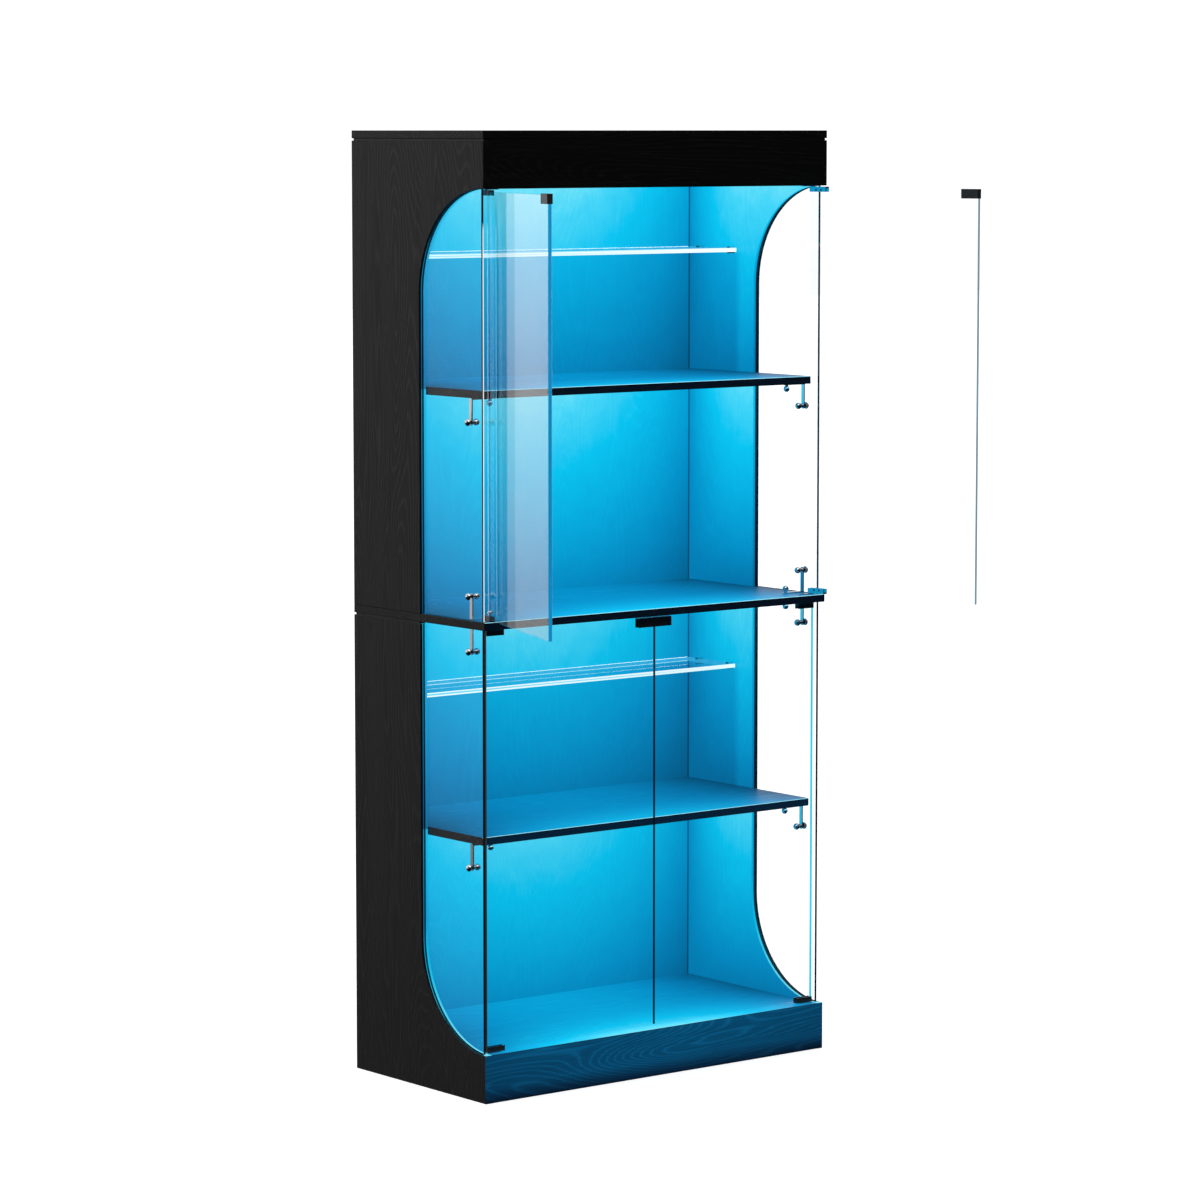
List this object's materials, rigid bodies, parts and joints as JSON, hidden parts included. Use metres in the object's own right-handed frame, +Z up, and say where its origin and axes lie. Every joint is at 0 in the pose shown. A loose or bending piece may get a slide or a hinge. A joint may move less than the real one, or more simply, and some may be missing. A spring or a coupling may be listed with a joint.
{
  "type": "china cabinet",
  "caption": "Tall free-standing display cabinet with frameless glass doors, curved side windows, wooden and glass shelves and built-in light strips.",
  "frame": {"origin": "on the floor at the middle of the carcass, on the centre support's underside", "axes": "+X to the cabinet's right as seen from the front, -Y out of the front, +Z up"},
  "size_m": [1.0162, 0.7828, 1.8],
  "materials": {
    "black_wood": "black wood-grain melamine on board, satin",
    "door_glass": "clear toughened glass, polished edges",
    "side_glass": "clear glass, polished edges",
    "shelf_glass": "clear glass, polished edges",
    "black_metal": "black powder coat, satin",
    "black_screws": "black oxide",
    "steel": "zinc-plated steel",
    "chrome": "polished chrome plate",
    "clear_plastic": "clear soft plastic",
    "aluminium": "anodised, matt",
    "diffuser": "frosted cover lit blue from behind",
    "light_strip": "white light strip",
    "black_plastic": "moulded, fine matt",
    "beech": "raw fluted beech"
  },
  "bodies": {
    "cabinet": {"bottom_panel": "black_wood", "bracket_ball_nuts": "chrome", "bracket_bolts": "chrome", "bracket_shelf_screws": "chrome", "bracket_washers": "clear_plastic", "carcass_dowels": "beech", "ceiling_light_channel": "aluminium", "ceiling_light_diffuser": "diffuser", "ceiling_panel": "black_wood", "centre_support": "black_wood", "door_pivot_plates": "steel", "fascia_board": "black_wood", "fitting_screws": "steel", "glass_brackets": "chrome", "light_controller": "black_plastic", "light_strips": "light_strip", "lower_back_panel": "black_wood", "lower_glass_shelf": "shelf_glass", "lower_magnetic_catch": "black_plastic", "lower_shelf_light_channel": "aluminium", "lower_shelf_light_diffuser": "diffuser", "lower_side_glass_left": "side_glass", "lower_side_glass_right": "side_glass", "lower_side_panel_left": "black_wood", "lower_side_panel_right": "black_wood", "lower_wood_shelf": "black_wood", "mid_panel": "black_wood", "mid_panel_light_channel": "aluminium", "mid_panel_light_diffuser": "diffuser", "plinth_board": "black_wood", "power_inlet": "black_plastic", "reveal_spacers": "black_plastic", "shelf_studs": "chrome", "top_panel": "black_wood", "upper_back_panel": "black_wood", "upper_glass_shelf": "shelf_glass", "upper_magnetic_catch": "black_plastic", "upper_shelf_light_channel": "aluminium", "upper_shelf_light_diffuser": "diffuser", "upper_side_glass_left": "side_glass", "upper_side_glass_right": "side_glass", "upper_side_panel_left": "black_wood", "upper_side_panel_right": "black_wood", "upper_wood_shelf": "black_wood"},
    "upper_left_door": {"upper_left_door_clip_handle": "black_metal", "upper_left_door_glass": "door_glass", "upper_left_door_grub_screws": "black_screws", "upper_left_door_hinge_clamps": "black_metal"},
    "upper_right_door": {"upper_right_door_clip_handle": "black_metal", "upper_right_door_glass": "door_glass", "upper_right_door_grub_screws": "black_screws", "upper_right_door_hinge_clamps": "black_metal"},
    "lower_left_door": {"lower_left_door_clip_handle": "black_metal", "lower_left_door_glass": "door_glass", "lower_left_door_grub_screws": "black_screws", "lower_left_door_hinge_clamps": "black_metal"},
    "lower_right_door": {"lower_right_door_clip_handle": "black_metal", "lower_right_door_glass": "door_glass", "lower_right_door_grub_screws": "black_screws", "lower_right_door_hinge_clamps": "black_metal"}
  },
  "joints": [
    {"name": "upper_left_hinge", "type": "hinge", "parent": "cabinet", "child": "upper_left_door", "pos_m": [-0.395, -0.1885, 1.297], "axis": [0, 0, -1], "range_deg": [-110.4, 9.6]},
    {"name": "upper_right_hinge", "type": "hinge", "parent": "cabinet", "child": "upper_right_door", "pos_m": [0.395, -0.1885, 1.297], "axis": [0, 0, 1], "range_deg": [-101.6, 18.4]},
    {"name": "lower_left_hinge", "type": "hinge", "parent": "cabinet", "child": "lower_left_door", "pos_m": [-0.395, -0.1885, 0.488], "axis": [0, 0, -1], "range_deg": [0, 120]},
    {"name": "lower_right_hinge", "type": "hinge", "parent": "cabinet", "child": "lower_right_door", "pos_m": [0.395, -0.1885, 0.488], "axis": [0, 0, 1], "range_deg": [0, 120]}
  ]
}
